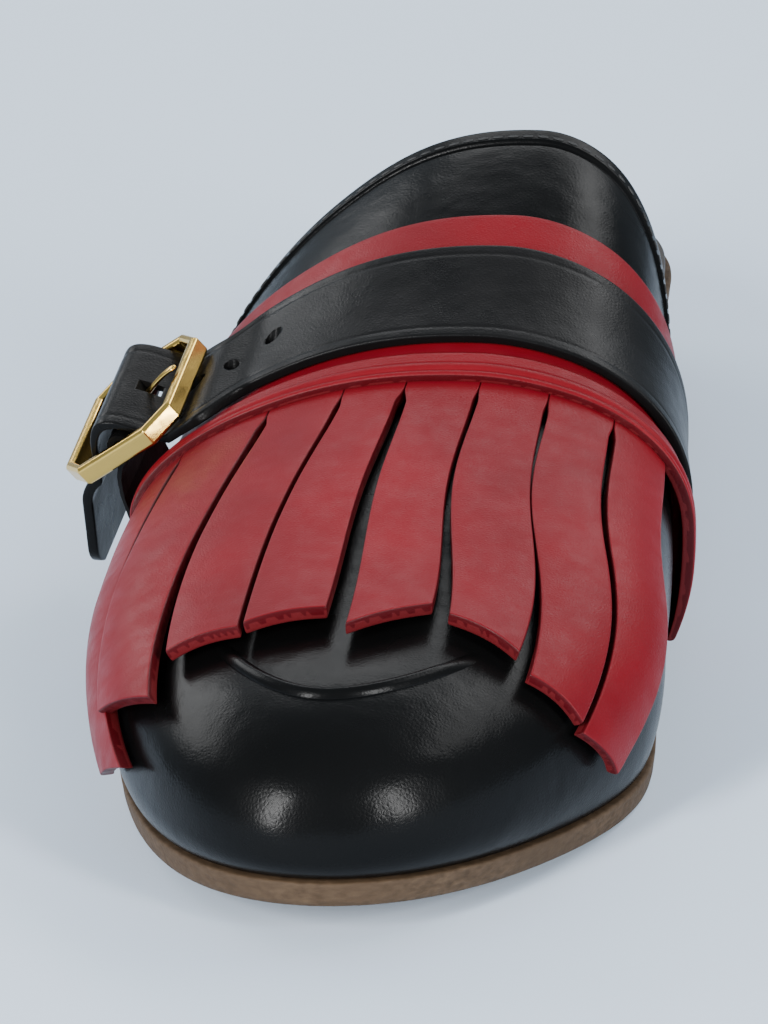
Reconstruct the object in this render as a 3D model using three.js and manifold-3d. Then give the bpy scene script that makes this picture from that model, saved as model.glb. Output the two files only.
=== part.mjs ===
// Fringed clog for the right foot: a backless leather upper on a low heel, with a cut fringe, a saddle
// band and a buckled strap over the instep. Millimetres, +Z up, toe towards -Y, outer side towards -X.
// Every soft piece is laid on one last, whose sections follow from the sizes and tables below.
import * as THREE from "three";
import { mergeVertices } from "three/addons/utils/BufferGeometryUtils.js";
import Module from "manifold-3d";

// Driving sizes
const soleLength = 250; // toe tip to heel end of the outsole
const ballWidth = 85; // outsole across the ball
const heelHeight = 19; // floor to the underside of the outsole over the heel
const toeSpring = 7; // floor to the underside of the outsole at the toe tip
const instepRise = 25.5; // widest line of the last up to its ridge, near the throat
const wallFullness = 19.8; // upper's lower edge up to the widest line of the last
const clearance = 0.3; // air between pieces that touch

// Outsole, insole and heel
const outsoleThickness = 4.2;
const soleBevel = 0.8; // how far the outsole's lower edge stands in from its upper edge
const toeLedge = 1; // outsole standing out past the upper round the toe
const saddleLedge = 2.4; // and under the ends of the strap
const insoleThickness = 2.8;
const insoleMargin = 1.2; // outsole showing round the insole at the heel
const insoleSideGap = 0.5; // insole to the inside of the upper
const topPieceThickness = 4;
const heelSetback = 0.4; // heel inside the outsole's lower edge
const heelTaper = 1.6; // how far the heel draws in from its top to the floor

// Upper
const wall = 2;
const tuck = 2.6; // how far the wall draws in from its widest line to its lower edge
const bindingWidth = 3.4;
const bindingSlope = 0.4; // run of the small step down from the binding
const bindingStep = 0.45; // binding proud of the vamp
const seamHeight = 1; // raised apron seam
const seamWidth = 2.8;
const seamRoot = 1; // how deep the seam's ridge is rooted in the wall

// Fringe, band and strap
const fringeThickness = 2.2;
const skivedThickness = 1; // root of the fringe, under the band
const rootOverlap = 6; // fringe root under the band
const slitStart = 1.6; // band's lower edge to the slits
const bandThickness = 1.7;
const bandAbove = 10; // band showing above the strap
const bandBelow = 10.2; // band showing below the strap
const bandFlat = 1.9; // flat of the band past the strap's lower edge
const bandRamp = 2; // run of its rise over the root of the fringe
const bandEdgeWidth = 3.6; // turned and stitched lower edge
const bandEdgeStep = 0.7;
const strapThickness = 1.8;
const strapWidth = 23;
const strapTip = 27; // buckle's bar to the free tip
const tipRounding = 5;
const tipBend = 4.5; // run over which the free end bends down behind the frame
const humpSpare = 1.4; // air between the strap and the loop round the bar
const strapRise = 15; // run over which the strap leaves the band for the buckle
const prongReach = 2.8; // bar to the hole that the prong uses
const holeSpacing = 8.3;
const holeWidth = 2.6;
const skiveShare = 0.35; // thickness pared off band and strap where they tuck in at the sole

// Buckle and its chape
const frameThickness = 3.6;
const frameBar = 1.9; // width of the buckle's four sides
const frameRun = 24.2; // buckle's outer size along the strap
const frameChamfer = 4.5;
const frameBevel = 0.4;
const frameLift = 2.8; // strap's underside off the band below the frame's instep side
const frameSlack = 1.4; // opening wider than the strap
const frameGap = 2.2; // strap's hump to the frame's sides
const openingChamfer = 3;
const barRadius = 1;
const prongWidth = 2;
const slotRun = 4; // slot in the strap that the prong comes up through
const slotMiddle = 4; // and its distance from the bar
const prongHeight = 1.3; // and its height where it reaches the frame
const prongOverhang = 0.6; // its tip inside the frame's outer edge
const loopWall = 1; // chape leather and prong metal round the bar
const chapeThickness = 1;
const chapeMargin = 0.5; // chape narrower than the strap on each side
const chapeRun = 3; // frame's outer side to where the chape leaves the wall
const chapeDrop = 0.35; // fall of the chape below the bar, for each millimetre of its run

// Shares of soleLength, from the toe
const throatAt = 0.678; // top of the upper, over the instep
const sideAt = 0.554; // where the upper's back edge meets the sole
const saddleAt = 0.4985; // middle of the strap, over the instep
const saddleLean = -0.028; // and how much further back it runs at the sides
const saddleSweep = 0.018; // and still further at the inner side's lower edge
const treadFront = 0.24; // outsole lies flat on the floor from here
const treadBack = 0.36; // to here
const seatFront = 0.76; // and is level again over the heel from here
const heelBreast = 0.775;
const seamFront = 0.07; // apron seam at the toe
const seamBack = 0.185; // and where it runs out under the fringe

// Shares round the section, from -1 at the outer lower edge over 0 at the ridge to 1
const buckleAcross = -0.87;
const buckleSlope = -0.54; // the buckle lies as steep as the last does here
const seamReach = 0.33;
const seamMiddle = -0.005;

// Outline of the outsole: middle line and half width, as shares of ballWidth, before toe and heel are rounded
const outline = [
  { at: 0, centre: 0.005, half: 0.454 },
  { at: 0.1, centre: 0.021, half: 0.469 },
  { at: 0.2, centre: 0.037, half: 0.499 },
  { at: 0.3, centre: 0.023, half: 0.498 },
  { at: 0.4, centre: 0.013, half: 0.487 },
  { at: 0.5, centre: 0.003, half: 0.46 },
  { at: 0.6, centre: -0.003, half: 0.441 },
  { at: 0.7, centre: -0.002, half: 0.405 },
  { at: 0.8, centre: -0.006, half: 0.371 },
  { at: 0.9, centre: -0.006, half: 0.364 },
  { at: 1, centre: -0.005, half: 0.353 },
];
const toeRound = 0.257;
const toeSquareness = 1.81;
const heelRound = 0.15;
const heelSquareness = 2.5;

// Sections of the last: ridge height as a share of instepRise, ridge offset as a share of ballWidth, height
// of the widest line as a share of wallFullness, and fullness of the two shoulders (2 is an ellipse)
const sections = [
  { at: 0, rise: 0.76, ridge: 0, level: 0.24, outer: 2.2, inner: 2.2 },
  { at: 0.1, rise: 0.71, ridge: 0, level: 0.4, outer: 2.4, inner: 2.45 },
  { at: 0.2, rise: 0.69, ridge: 0.012, level: 0.65, outer: 2.3, inner: 2.55 },
  { at: 0.3, rise: 0.684, ridge: 0.057, level: 0.9, outer: 1.95, inner: 2.52 },
  { at: 0.4, rise: 0.74, ridge: 0.113, level: 1, outer: 1.5, inner: 2.5 },
  { at: 0.5, rise: 0.89, ridge: 0.132, level: 0.95, outer: 1.34, inner: 2.26 },
  { at: 0.6, rise: 1.019, ridge: 0.156, level: 0.9, outer: 1.2, inner: 2.43 },
  { at: 0.75, rise: 1.14, ridge: 0.152, level: 0.85, outer: 1.2, inner: 2.5 },
];
const noseRound = 0.14;
const shoulder = 0.84; // share of the section above its widest line
const tuckAngle = (50 * Math.PI) / 180;
const tipDroop = (52 * Math.PI) / 180; // free end out of the frame's slope

// Strips of the fringe from the outer side: the two edges at the root and at the tip, round the section,
// the place of the tip's two corners along the length, how late the strip swings out (1 is evenly), and how
// far the tip stands off, in millimetres
const strips = [
  { root: [-0.745, -0.59], tip: [-0.89, -0.755], end: [0.125, 0.08], swing: 2, lift: 0.8 },
  { root: [-0.575, -0.372], tip: [-0.721, -0.523], end: [0.129, 0.09], swing: 2, lift: 1.6 },
  { root: [-0.352, -0.222], tip: [-0.447, -0.25], end: [0.126, 0.13], swing: 1.5, lift: 1.2 },
  { root: [-0.212, -0.118], tip: [-0.238, -0.056], end: [0.132, 0.145], swing: 1.2, lift: 1.4 },
  { root: [-0.1, 0.018], tip: [0.002, 0.156], end: [0.125, 0.16], swing: 1.3, lift: 1.4 },
  { root: [0.032, 0.208], tip: [0.201, 0.404], end: [0.152, 0.136], swing: 1.6, lift: 1.4 },
  { root: [0.222, 0.405], tip: [0.466, 0.667], end: [0.124, 0.126], swing: 2.1, lift: 1.2 },
  { root: [0.425, 0.62], tip: [0.69, 0.855], end: [0.123, 0.143], swing: 2.2, lift: 1 },
];

// Grid sizes of the faceted surfaces
const upperRows = 21;
const upperColumns = 44;
const soleRows = 40;
const soleColumns = 2;
const stripRows = 9;
const stripColumns = 2;
const bandColumns = 44;
const strapColumns = 4;
const seamRows = 28;

const wasm = await Module();
wasm.setup();

const clamp = (value, low, high) => Math.min(high, Math.max(low, value));
const ease = (x) => clamp(x, 0, 1) ** 2 * (3 - 2 * clamp(x, 0, 1));
const mix = (a, b, share) => a + (b - a) * share;
const range = (count, value) => Array.from({ length: count + 1 }, (_, i) => value(i / count));

// Natural cubic spline through one column of a table.
function smooth(rows, column) {
  const x = rows.map((row) => row.at);
  const y = rows.map((row) => row[column]);
  const last = rows.length - 1;
  const bend = x.map(() => 0);
  const pivot = x.map(() => 1);
  const load = x.map(() => 0);
  for (let i = 1; i < last; i++) {
    const before = x[i] - x[i - 1];
    const after = x[i + 1] - x[i];
    const carry = i > 1 ? before / pivot[i - 1] : 0;
    pivot[i] = 2 * (before + after) - carry * before;
    load[i] = 6 * ((y[i + 1] - y[i]) / after - (y[i] - y[i - 1]) / before) - carry * load[i - 1];
  }
  for (let i = last - 1; i > 0; i--) {
    bend[i] = (load[i] - (i < last - 1 ? (x[i + 1] - x[i]) * bend[i + 1] : 0)) / pivot[i];
  }
  return (at) => {
    const k = at >= x[last] ? last - 1 : Math.max(0, x.findIndex((value) => value > at) - 1);
    const span = x[k + 1] - x[k];
    const a = (x[k + 1] - at) / span;
    const b = 1 - a;
    return a * y[k] + b * y[k + 1] + (((a ** 3 - a) * bend[k] + (b ** 3 - b) * bend[k + 1]) * span ** 2) / 6;
  };
}

const centreAt = smooth(outline, "centre");
const halfAt = smooth(outline, "half");
const riseAt = smooth(sections, "rise");
const ridgeAt = smooth(sections, "ridge");
const levelAt = smooth(sections, "level");
const outerAt = smooth(sections, "outer");
const innerAt = smooth(sections, "inner");

// Half width left by the rounding of toe and heel, as a share.
function rounding(at) {
  const toe = clamp(1 - at / toeRound, 0, 1) ** toeSquareness;
  const heel = clamp(1 - (1 - at) / heelRound, 0, 1) ** heelSquareness;
  return Math.sqrt((1 - toe) * (1 - heel));
}

const along = (at) => soleLength * (at - 0.5);
const turnAt = (at) => Math.acos(1 - 2 * clamp(at, 0, 1));
const atTurn = (turn) => (1 - Math.cos(turn)) / 2;

// Point of the outsole's outline in plan, moved outwards by offset square to the edge. Side is -1 or 1.
function edge(at, side, offset = 0) {
  const place = (turn) => {
    const share = atTurn(turn);
    const sign = turn < 0 || turn > Math.PI ? -side : side;
    const x = ballWidth * (centreAt(share) + sign * halfAt(share) * rounding(share));
    return new THREE.Vector2(x, along(share));
  };
  const turn = turnAt(at);
  const step = 0.002;
  const tangent = place(turn + step).sub(place(turn - step)).normalize();
  const outwards = new THREE.Vector2(tangent.y, -tangent.x).multiplyScalar(side * offset);
  return place(turn).add(outwards);
}

// Height of the outsole's underside: toe spring, flat tread, arch and level heel seat.
function underside(at) {
  const toe = clamp(1 - at / treadFront, 0, 1);
  return toeSpring * toe ** 1.8 + heelHeight * ease((at - treadBack) / (seatFront - treadBack));
}
const soleTop = (at) => underside(at) + outsoleThickness;

const ledgeAt = (at) => mix(toeLedge, saddleLedge, ease((at - treadBack) / (saddleAt - treadBack)));
const lastInset = (at) => wall + ledgeAt(at) - tuck;

// Point of the last's surface. Across runs from -1 at the outer lower edge, over 0 at the ridge, to 1.
function lastSurface(at, across) {
  const side = across < 0 ? -1 : 1;
  const share = Math.abs(across);
  const level = wallFullness * levelAt(at);
  const widest = soleTop(at) + clearance + level;
  if (share > shoulder) {
    const angle = ((share - shoulder) / (1 - shoulder)) * tuckAngle;
    const inwards = (tuck * (1 - Math.cos(angle))) / (1 - Math.cos(tuckAngle));
    const low = edge(at, side, -lastInset(at) - inwards);
    return new THREE.Vector3(low.x, low.y, widest - (level * Math.sin(angle)) / Math.sin(tuckAngle));
  }
  const corner = edge(at, side, -lastInset(at));
  const angle = ((share / shoulder) * Math.PI) / 2;
  const nose = Math.sqrt(1 - clamp(1 - at / noseRound, 0, 1) ** 2.5);
  const ridgeX = ballWidth * (centreAt(at) + ridgeAt(at) * rounding(at));
  const ridgeY = along(at) + lastInset(at) * (1 - at);
  const full = mix(outerAt(at), innerAt(at), ease((across + 0.4) / 0.8));
  const reach = Math.sin(angle);
  return new THREE.Vector3(
    mix(ridgeX, corner.x, reach),
    mix(ridgeY, corner.y, reach ** 2),
    widest + instepRise * riseAt(at) * nose * Math.max(0, Math.cos(angle)) ** (2 / full),
  );
}

// Outward direction from the last: square to it above the widest line, and level below that line.
function outward(at, across) {
  if (at <= 0) return new THREE.Vector3(0, -1, 0);
  const step = 0.002;
  const inside = clamp(across, -shoulder, shoulder);
  const turn = turnAt(at);
  const round = lastSurface(at, inside + step).sub(lastSurface(at, inside - step));
  const down = lastSurface(atTurn(turn + step), inside).sub(lastSurface(atTurn(turn - step), inside));
  const square = round.cross(down).normalize();
  return Math.abs(across) < shoulder ? square : square.setZ(0).normalize();
}

// Point at the height proud above the last.
function onLast(at, across, proud) {
  return lastSurface(at, across).addScaledVector(outward(at, across), proud);
}

// Back edge of the upper, from the throat down and forward to the sole.
const backEdge = (across) => mix(throatAt, sideAt, Math.abs(across) ** 2.6);

// Middle line of the strap over the last. V is the distance from it towards the toe.
const saddleLine = (across) => saddleAt + saddleLean * across ** 2 + saddleSweep * Math.max(0, across) ** 8;
function saddlePlace(across, v) {
  const step = 0.002;
  const at = saddleLine(across);
  const pace = lastSurface(at + step, across).distanceTo(lastSurface(at - step, across)) / (2 * step);
  return at - v / pace;
}
const onSaddle = (across, v, proud) => onLast(saddlePlace(across, v), across, proud);

// Closed solid between an outer and an inner grid of points, rows towards +Y and columns towards +X on the
// outer one. A cell that present leaves out is a slit. With closed the first row has no wall of its own.
function slab(outer, inner, { present = () => true, closed = false } = {}) {
  const rows = outer.length - 1;
  const columns = outer[0].length - 1;
  const positions = [...outer.flat(), ...inner.flat()].flatMap((p) => [p.x, p.y, p.z]);
  const index = [];
  const id = (layer, i, j) => (layer * (rows + 1) + i) * (columns + 1) + j;
  const quad = (a, b, c, d) => index.push(a, b, c, a, c, d);
  const wallBetween = (i, j, k, l) => quad(id(0, k, l), id(0, i, j), id(1, i, j), id(1, k, l));
  const filled = (i, j) => i >= 0 && j >= 0 && i < rows && j < columns && present(i, j);
  for (let i = 0; i < rows; i++) {
    for (let j = 0; j < columns; j++) {
      if (!filled(i, j)) continue;
      quad(id(0, i, j), id(0, i, j + 1), id(0, i + 1, j + 1), id(0, i + 1, j));
      quad(id(1, i, j), id(1, i + 1, j), id(1, i + 1, j + 1), id(1, i, j + 1));
      if (!filled(i, j - 1)) wallBetween(i + 1, j, i, j);
      if (!filled(i, j + 1)) wallBetween(i, j + 1, i + 1, j + 1);
      if (!filled(i - 1, j) && !(closed && i === 0)) wallBetween(i, j, i, j + 1);
      if (!filled(i + 1, j)) wallBetween(i + 1, j + 1, i + 1, j);
    }
  }
  const geometry = new THREE.BufferGeometry();
  geometry.setAttribute("position", new THREE.Float32BufferAttribute(positions, 3));
  geometry.setIndex(index);
  return solidOf(geometry);
}

// A geometry as a manifold-3d solid: corners merged and collapsed triangles dropped.
function solidOf(geometry) {
  const bare = geometry.index ? geometry.toNonIndexed() : geometry.clone();
  bare.deleteAttribute("normal");
  bare.deleteAttribute("uv");
  const merged = mergeVertices(bare, 1e-4);
  const corners = merged.index.array;
  const kept = [];
  for (let i = 0; i < corners.length; i += 3) {
    const [a, b, c] = corners.subarray(i, i + 3);
    if (a !== b && b !== c && a !== c) kept.push(a, b, c);
  }
  const vertProperties = merged.attributes.position.array;
  return new wasm.Manifold(new wasm.Mesh({ numProp: 3, vertProperties, triVerts: new Uint32Array(kept) }));
}

function geometryOf(solid) {
  const mesh = solid.getMesh();
  const geometry = new THREE.BufferGeometry();
  geometry.setAttribute("position", new THREE.BufferAttribute(new Float32Array(mesh.vertProperties), 3));
  geometry.setIndex(new THREE.BufferAttribute(new Uint32Array(mesh.triVerts), 1));
  geometry.computeVertexNormals();
  return geometry;
}

// Rows of points across the shoe between the two edges of the outline, at a height from at.
function planGrid(stations, offset, height) {
  return stations.map((at) => {
    const outer = edge(at, -1, offset(at));
    const inner = edge(at, 1, offset(at));
    return range(soleColumns, (share) => {
      const point = outer.clone().lerp(inner, share);
      return new THREE.Vector3(point.x, point.y, height(at));
    });
  });
}

const wholeLength = range(soleRows, (share) => atTurn(share * Math.PI));

function makeOutsole() {
  const top = planGrid(wholeLength, () => 0, soleTop);
  return slab(top, planGrid(wholeLength, () => -soleBevel, underside));
}

// The insole lies inside the upper's lower edge, and widens to near the sole's edge behind the upper.
function makeInsole() {
  const inUpper = (at) => -ledgeAt(at) - wall - insoleSideGap;
  const margin = (at) => mix(inUpper(at), -insoleMargin, ease((at - sideAt - 0.01) / 0.05));
  const low = (at) => soleTop(at) + clearance;
  const top = planGrid(wholeLength, margin, (at) => low(at) + insoleThickness);
  return slab(top, planGrid(wholeLength, margin, low));
}

// Part of the heel between two heights, inside the outline of the heel seat and drawn in towards the floor.
function heelBlock(low, high) {
  const stations = range(12, (share) => mix(heelBreast, 1, Math.sin((share * Math.PI) / 2)));
  const inset = (z) => -soleBevel - heelSetback - heelTaper * (1 - z / heelHeight);
  const layer = (z) => planGrid(stations, () => inset(z), () => z);
  return slab(layer(high), layer(low));
}
const makeHeel = () => heelBlock(topPieceThickness + clearance, heelHeight - clearance);
const makeTopPiece = () => heelBlock(0, topPieceThickness);

// The upper's wall, thicker along the bound back edge, with the raised apron seam fused on.
function makeUpper() {
  const field = (share) => {
    const end = (bindingWidth + 2 * bindingSlope) / soleLength;
    return { at: (across) => share ** 1.5 * (backEdge(across) - end), thick: wall };
  };
  const border = (back, thick) => ({ at: (across) => backEdge(across) - back / soleLength, thick });
  const rows = [
    ...range(upperRows, field),
    border(bindingWidth + bindingSlope, wall),
    border(bindingWidth, wall + bindingStep),
    border(0, wall + bindingStep),
  ];
  const columns = range(upperColumns, (share) => mix(-1, 1, share));
  const ring = (row, proud) => columns.map((across) => onLast(row.at(across), across, proud));
  const layer = (proud) => rows.map((row) => ring(row, proud(row)));
  const shell = slab(layer((row) => row.thick), layer(() => 0), { closed: true });
  return shell.add(makeSeam());
}

// Apron seam: a low rounded ridge from under the fringe round the toe and back, rooted in the wall.
function makeSeam() {
  const line = (turn) => ({
    at: mix(seamFront, seamBack, 1 - Math.sqrt(1 - 0.96 * turn * turn)),
    across: seamMiddle + seamReach * turn,
  });
  const spot = (turn, share, proud) => {
    const here = line(turn);
    const ahead = line(Math.min(1, turn + 0.02));
    const behind = line(Math.max(-1, turn - 0.02));
    const up = outward(here.at, here.across);
    const forward = lastSurface(ahead.at, ahead.across).sub(lastSurface(behind.at, behind.across));
    const side = new THREE.Vector3().crossVectors(up, forward).normalize();
    return onLast(here.at, here.across, proud).addScaledVector(side, (share * seamWidth) / 2);
  };
  const sunk = 0.3;
  const fade = (turn) => ease((1 - Math.abs(turn)) / 0.24);
  const top = (turn, share) => wall - sunk + (seamHeight + sunk) * Math.sqrt(1 - share * share) * fade(turn);
  const turns = range(seamRows, (share) => mix(-1, 1, share));
  const profile = [-1, -0.5, 0, 0.5, 1];
  const outer = profile.map((share) => turns.map((turn) => spot(turn, share, top(turn, share))));
  const inner = profile.map((share) => turns.map((turn) => spot(turn, share, wall - seamRoot)));
  return slab(outer, inner);
}

const colours = { black: 0x0d0d0e, red: 0x9c1c22, tan: 0x6f5436, gold: 0xc9a24a, rubber: 0x1a1815 };
function finish(color, roughness, metalness = 0) {
  return new THREE.MeshStandardMaterial({ color, roughness, metalness });
}

// Band and strap are pared thinner where they tuck in at the sole.
const pared = (across) => 1 - skiveShare * ease((Math.abs(across) - 0.88) / 0.12);
const skin = wall + clearance;
const bandBottom = strapWidth / 2 + bandBelow;

// Height of the band's underside above the last: flat under the strap, then up over the fringe's root.
const rampStart = strapWidth / 2 + bandFlat;
function bandUnder(v) {
  return skin + (skivedThickness + clearance) * ease((v - rampStart) / bandRamp);
}
function bandOver(v, across) {
  const edgeStep = v > bandBottom - bandEdgeWidth ? bandEdgeStep : 0;
  return bandUnder(v) + (bandThickness + edgeStep) * pared(across);
}

// Rows from the lower edge to the upper one, held clear of the upper's binding where the band meets the sole.
const bandAcross = range(bandColumns, (share) => mix(-1, 1, share));
function makeBand() {
  const edgeTop = bandBottom - bandEdgeWidth;
  const ramp = [1, 0.5, 0].map((share) => rampStart + share * bandRamp);
  const half = strapWidth / 2;
  const under = [0.5, -0.5, -1].map((share) => share * half);
  const stations = [bandBottom, edgeTop + 0.01, edgeTop - 0.3, ...ramp, ...under, -half - bandAbove];
  const limit = (k, across) => {
    const steps = stations.length - 1 - k;
    return backEdge(across) - (bindingWidth + bindingSlope + clearance + steps) / soleLength;
  };
  const place = (v, k, across) => Math.min(saddlePlace(across, v), limit(k, across));
  const layer = (proud) =>
    stations.map((v, k) => bandAcross.map((across) => onLast(place(v, k, across), across, proud(v, across))));
  return slab(layer(bandOver), layer(bandUnder));
}

// One grid for root and strips: slit columns hold leather only in the root's rows.
function makeFringe() {
  const columns = [];
  strips.forEach((strip, i) => {
    range(stripColumns, (share) => share).forEach((share) => {
      columns.push({ strip, share, slitAfter: share === 1 && i < strips.length - 1 });
    });
  });
  const rootRows = [
    { v: bandBottom - rootOverlap, thick: skivedThickness },
    { v: bandBottom + clearance - 0.1, thick: skivedThickness },
    { v: bandBottom + clearance, thick: fringeThickness },
    { v: bandBottom + slitStart, thick: fringeThickness },
  ];
  const rootAt = (column, v) => saddlePlace(mix(...column.strip.root, column.share), v);
  const spot = (column, row, proud) => {
    const across = mix(...column.strip.root, column.share);
    if (row.v !== undefined) return onLast(rootAt(column, row.v), across, proud(row, column));
    const at = mix(rootAt(column, bandBottom + slitStart), mix(...column.strip.end, column.share), row.run);
    const outwards = mix(across, mix(...column.strip.tip, column.share), row.run ** column.strip.swing);
    return onLast(at, outwards, proud(row, column));
  };
  const rows = [...range(stripRows, (share) => ({ run: 1 - share, thick: fringeThickness })).slice(0, -1)];
  rows.push(...rootRows.slice().reverse());
  const under = (row, column) => skin + column.strip.lift * (row.run ?? 0) ** 2;
  const over = (row, column) => under(row, column) + row.thick;
  const layer = (proud) => rows.map((row) => columns.map((column) => spot(column, row, proud)));
  return slab(layer(over), layer(under), { present: (i, j) => i >= stripRows || !columns[j].slitAfter });
}

// Distances along the strap's middle line, from the buckle's bar and positive towards the inner side.
const strapRun = (() => {
  const shares = range(400, (share) => mix(-1, 1, share));
  const length = [0];
  for (let i = 1; i < shares.length; i++) {
    const pace = onSaddle(shares[i], 0, skin).distanceTo(onSaddle(shares[i - 1], 0, skin));
    length.push(length[i - 1] + pace);
  }
  const zero = length[shares.findIndex((share) => share >= buckleAcross)];
  return shares.map((across, i) => ({ across, s: length[i] - zero }));
})();
function lookUp(from, to, value) {
  const beyond = strapRun.findIndex((row) => row[from] > value);
  const k = beyond < 0 ? strapRun.length - 1 : Math.max(1, beyond);
  const [a, b] = [strapRun[k - 1], strapRun[k]];
  return mix(a[to], b[to], clamp((value - a[from]) / (b[from] - a[from]), 0, 1));
}
const acrossRun = (s) => lookUp("s", "across", s);
const runAcross = (across) => lookUp("across", "s", across);

const strapBed = skin + bandThickness + clearance; // underside of the strap above the last

// The buckle's own frame of reference, its origin on the last under the bar: X towards the free tip, Y to the
// toe, Z outwards. It lies as steep as the last does at buckleSlope.
const buckleMatrix = (() => {
  const normal = outward(saddleLine(buckleSlope), buckleSlope);
  const lengthwise = onSaddle(buckleAcross, 1, 0).sub(onSaddle(buckleAcross, -1, 0));
  const run = new THREE.Vector3().crossVectors(lengthwise, normal).normalize();
  const toeward = new THREE.Vector3().crossVectors(normal, run);
  const matrix = new THREE.Matrix4().makeBasis(run, toeward, normal);
  return matrix.setPosition(onSaddle(buckleAcross, 0, 0));
})();

// Heights in that frame. The instep side of the frame rests on the strap, which it draws off the band.
const frameLow = (() => {
  const toLocal = buckleMatrix.clone().invert();
  const top = strapBed + strapThickness + clearance + frameLift;
  const height = (s, v) => onSaddle(acrossRun(s), v * strapWidth, top).applyMatrix4(toLocal).z;
  const heights = [frameRun / 2 - frameBar, frameRun / 2].map((s) => [-0.5, 0, 0.5].map((v) => height(s, v)));
  return Math.max(...heights.flat());
})();
const barHeight = frameLow + frameThickness / 2;
const loopRadius = barRadius + clearance + loopWall;
const strapLow = frameLow - clearance - strapThickness;
const humpRise = barHeight + loopRadius + clearance + humpSpare - strapLow;
const humpRun = frameRun / 2 - frameBar - frameGap;

// Underside of the strap in the buckle's own frame: under the frame's sides, over the bar in a hump, and past
// the frame bent down to the free tip.
function heldStrap(s, v, thick) {
  const past = Math.max(0, -s - humpRun);
  const bent = (tipDroop * Math.min(past, tipBend)) / tipBend;
  const radius = tipBend / tipDroop - thick;
  const straight = Math.max(0, past - tipBend);
  const hump = Math.max(0, 1 - (s / humpRun) ** 2) ** 1.5;
  const x = past > 0 ? humpRun + (radius + thick) * Math.sin(bent) + straight * Math.cos(bent) : -s;
  const z = (radius + thick) * (1 - Math.cos(bent)) + straight * Math.sin(bent);
  const height = strapLow + humpRise * hump - z;
  const face = new THREE.Vector3(x + thick * Math.sin(bent), v, height + thick * Math.cos(bent));
  return face.applyMatrix4(buckleMatrix);
}

// Point of the strap at the distance s from the bar: held by the buckle or laid on the band. V runs towards
// the toe.
function strapPoint(s, v, thick) {
  const across = acrossRun(s);
  const laid = onSaddle(across, v, skin + clearance + (bandThickness + thick) * pared(across));
  return laid.lerp(heldStrap(s, v, thick), ease((frameRun / 2 + strapRise - s) / strapRise));
}

function makeStrap() {
  const fine = range(16, (share) => mix(-humpRun, humpRun, share));
  const bend = range(4, (share) => mix(-humpRun - tipBend, -humpRun, share)).slice(0, -1);
  const tail = [-strapTip, -strapTip + tipRounding / 2, -strapTip + tipRounding];
  const rest = bandAcross.map(runAcross).filter((s) => s > humpRun + 1);
  const stations = [...tail, ...bend, ...fine, ...rest];
  const narrow = (s) => Math.sqrt(1 - (0.75 * Math.max(0, (tipRounding - strapTip - s) / tipRounding)) ** 2);
  const layer = (thick) =>
    range(strapColumns, (share) => mix(strapWidth / 2, -strapWidth / 2, share)).map((v) =>
      stations.map((s) => strapPoint(s, v * narrow(s), thick)),
    );
  const strap = slab(layer(strapThickness), layer(0));
  const punches = [1, 2, 3].map((k) => punch(prongReach + k * holeSpacing));
  return punches.reduce((body, hole) => body.subtract(hole), strap).subtract(prongSlot());
}

// Hole across the strap, square to the last.
function punch(s) {
  const across = acrossRun(s);
  const pin = new THREE.CylinderGeometry(holeWidth / 2, holeWidth / 2, 4 * strapThickness, 10);
  const up = outward(saddleLine(across), across);
  const turn = new THREE.Quaternion().setFromUnitVectors(new THREE.Vector3(0, 1, 0), up);
  const middle = strapPoint(s, 0, strapThickness / 2);
  return solidOf(pin.applyQuaternion(turn).translate(middle.x, middle.y, middle.z));
}
function prongSlot() {
  const slot = new THREE.BoxGeometry(slotRun, prongWidth + 2 * clearance, 4 * humpRise);
  slot.translate(-slotMiddle, 0, barHeight).applyMatrix4(buckleMatrix);
  return solidOf(slot);
}

// Rectangle with cut corners, in plan.
function chamfered(shape, run, width, cut) {
  const corners = [0, 1, 2, 3].flatMap((k) => {
    const sideX = k === 0 || k === 3 ? 1 : -1;
    const sideY = k < 2 ? 1 : -1;
    const onRun = new THREE.Vector2((sideX * run) / 2, sideY * (width / 2 - cut));
    const onWidth = new THREE.Vector2(sideX * (run / 2 - cut), (sideY * width) / 2);
    return k % 2 === 0 ? [onRun, onWidth] : [onWidth, onRun];
  });
  return shape.setFromPoints(corners);
}

function makeFrame() {
  const width = strapWidth + 2 * frameBar + frameSlack;
  const inset = 2 * frameBevel;
  const cutInset = frameBevel * (2 - Math.SQRT2);
  const shape = chamfered(new THREE.Shape(), frameRun - inset, width - inset, frameChamfer - cutInset);
  const opening = [frameRun - 2 * frameBar + inset, width - 2 * frameBar + inset];
  shape.holes.push(chamfered(new THREE.Path(), ...opening, openingChamfer + cutInset));
  const ring = new THREE.ExtrudeGeometry(shape, {
    depth: frameThickness - inset,
    bevelSize: frameBevel,
    bevelThickness: frameBevel,
    bevelSegments: 1,
  });
  ring.translate(0, 0, frameLow + frameBevel);
  const bar = new THREE.CylinderGeometry(barRadius, barRadius, width - frameBar, 12);
  const matrix = buckleMatrix;
  const barBody = bar.clone().applyMatrix4(new THREE.Matrix4().makeTranslation(0, 0, barHeight));
  return solidOf(ring.applyMatrix4(matrix)).add(solidOf(barBody.applyMatrix4(matrix)));
}

// Solid from a profile in the buckle's X and Z, spread evenly to both sides in Y.
function spread(shape, width) {
  const body = new THREE.ExtrudeGeometry(shape, { depth: width, bevelEnabled: false, curveSegments: 10 });
  body.rotateX(Math.PI / 2).translate(0, width / 2, 0);
  return solidOf(body.applyMatrix4(buckleMatrix));
}

const loopShape = () => {
  const shape = new THREE.Shape().absarc(0, barHeight, loopRadius, 0, 2 * Math.PI);
  shape.holes.push(new THREE.Path().absarc(0, barHeight, barRadius + clearance, 0, 2 * Math.PI));
  return shape;
};

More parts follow.
